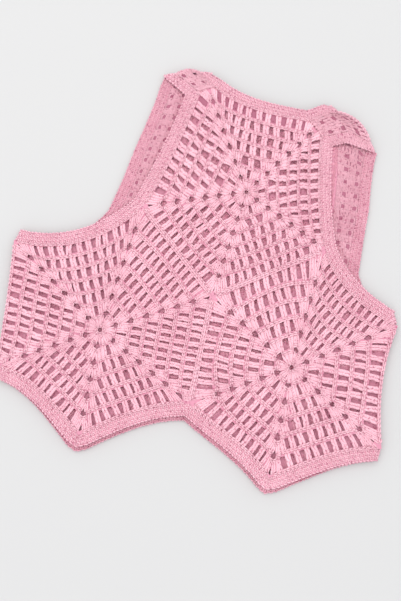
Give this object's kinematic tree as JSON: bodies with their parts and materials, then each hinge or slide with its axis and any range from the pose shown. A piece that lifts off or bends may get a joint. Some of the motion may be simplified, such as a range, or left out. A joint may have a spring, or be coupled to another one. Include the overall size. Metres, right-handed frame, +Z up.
{
  "type": "crocheted vest",
  "caption": "Sleeveless crocheted vest of large five-sided and six-sided lace motifs with close borders, laid flat with its front up.",
  "frame": {"origin": "centre of the vest's bounding box, on the surface it lies on", "axes": "+Z up through the laid vest, +Y to the neck, +X to the right as the front is seen"},
  "size_m": [0.4674, 0.4796, 0.0085],
  "materials": {
    "front_yarn": "matte",
    "back_yarn": "matte",
    "strap_yarn": "matte",
    "border_yarn": "matte"
  },
  "bodies": {
    "root": {"front_top_motif": "front_yarn", "front_left_motif": "front_yarn", "front_right_motif": "front_yarn", "back_top_motif": "back_yarn", "back_left_motif": "back_yarn", "back_right_motif": "back_yarn", "strap_left": "strap_yarn", "strap_right": "strap_yarn", "neck_border": "border_yarn", "armhole_border_left": "border_yarn", "armhole_border_right": "border_yarn", "hem_border": "border_yarn"}
  },
  "joints": []
}
